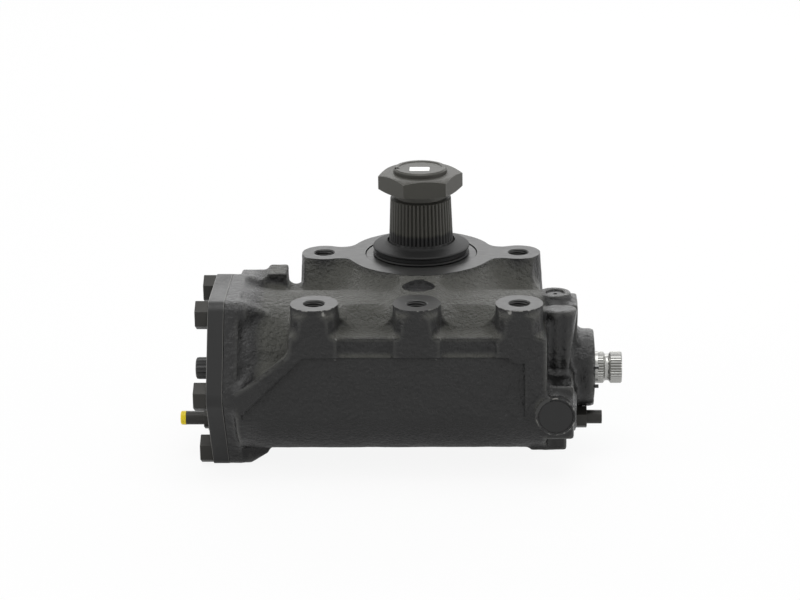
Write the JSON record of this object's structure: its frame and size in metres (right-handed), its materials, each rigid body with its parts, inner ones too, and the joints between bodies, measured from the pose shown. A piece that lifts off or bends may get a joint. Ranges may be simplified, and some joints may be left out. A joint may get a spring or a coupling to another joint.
{
  "type": "steering gear",
  "caption": "Recirculating ball power steering gear: cast housing with a barrel and tapped mounting bosses, serrated output shaft with a hexagon nut, serrated input shaft.",
  "frame": {"origin": "where the output shaft's axis meets the machined mounting plane on top of the bosses", "axes": "+Z along the output shaft towards its nut, +X along the piston and worm towards the input shaft"},
  "size_m": [0.4138, 0.256, 0.2518],
  "materials": {
    "black_paint": "satin",
    "black_cover_paint": "satin",
    "black_bolt": "satin",
    "phosphated_steel": "satin",
    "bright_steel": "satin",
    "bearing_steel": "polished",
    "black_rubber": "matte",
    "black_plastic": "matte",
    "yellow_plastic": "gloss",
    "seal_ring": "satin"
  },
  "bodies": {
    "gear_housing": {"housing": "black_paint", "cylinder_cover": "black_cover_paint", "cover_seal": "black_rubber", "cover_bolts": "black_bolt", "cover_plug": "black_plastic", "side_cover": "black_cover_paint", "side_cover_seal": "black_rubber", "side_cover_bolts": "black_bolt", "upper_bearing": "bearing_steel", "lower_bearing": "bearing_steel", "seal_carrier": "black_cover_paint", "shaft_seal": "black_rubber", "dust_cap": "black_rubber", "adjusting_screw": "bright_steel", "adjusting_nut": "black_bolt", "bearing_cap": "black_cover_paint", "input_seal": "black_rubber", "input_boot": "black_rubber", "pressure_port_plug": "black_plastic", "return_port_plug": "black_plastic", "relief_valve_plug": "black_cover_paint", "inner_thrust_bearing": "bearing_steel", "outer_thrust_bearing": "bearing_steel", "left_limiter_screw": "black_bolt", "right_limiter_screw": "black_bolt", "left_limiter_nut": "black_bolt", "right_limiter_nut": "black_bolt", "left_limiter_cap": "yellow_plastic"},
    "sector": {"sector_shaft": "phosphated_steel", "pitman_nut": "phosphated_steel", "adjuster_retainer": "bright_steel"},
    "rack_piston": {"piston": "bright_steel", "piston_ring": "seal_ring", "ball_return_guide": "bright_steel", "recirculating_balls": "bearing_steel"},
    "worm_screw": {"worm": "bright_steel", "valve_seal_rings": "seal_ring", "torsion_bar": "bright_steel", "torsion_pin": "bright_steel"},
    "steering_input": {"input_shaft": "bright_steel"}
  },
  "joints": [
    {"name": "sector_turn", "type": "hinge", "parent": "gear_housing", "child": "sector", "pos_m": [0, 0, 0], "axis": [0, 0, 1], "range_deg": [-45, 45]},
    {"name": "piston_slide", "type": "slide", "parent": "gear_housing", "child": "rack_piston", "axis": [1, 0, 0], "range_m": [-0.03771, 0.03771]},
    {"name": "worm_turn", "type": "hinge", "parent": "gear_housing", "child": "worm_screw", "pos_m": [0, -0.084, -0.087], "axis": [1, 0, 0], "range_deg": [-904.88, 904.88]},
    {"name": "valve_twist", "type": "hinge", "parent": "worm_screw", "child": "steering_input", "pos_m": [0, -0.084, -0.087], "axis": [1, 0, 0], "range_deg": [-5, 5], "stiffness_Nm_per_rad": 100}
  ],
  "couplings": [
    {"joint": "piston_slide", "follows": "sector_turn", "m_per_rad": 0.048},
    {"joint": "worm_turn", "follows": "sector_turn", "ratio": -20.106}
  ]
}
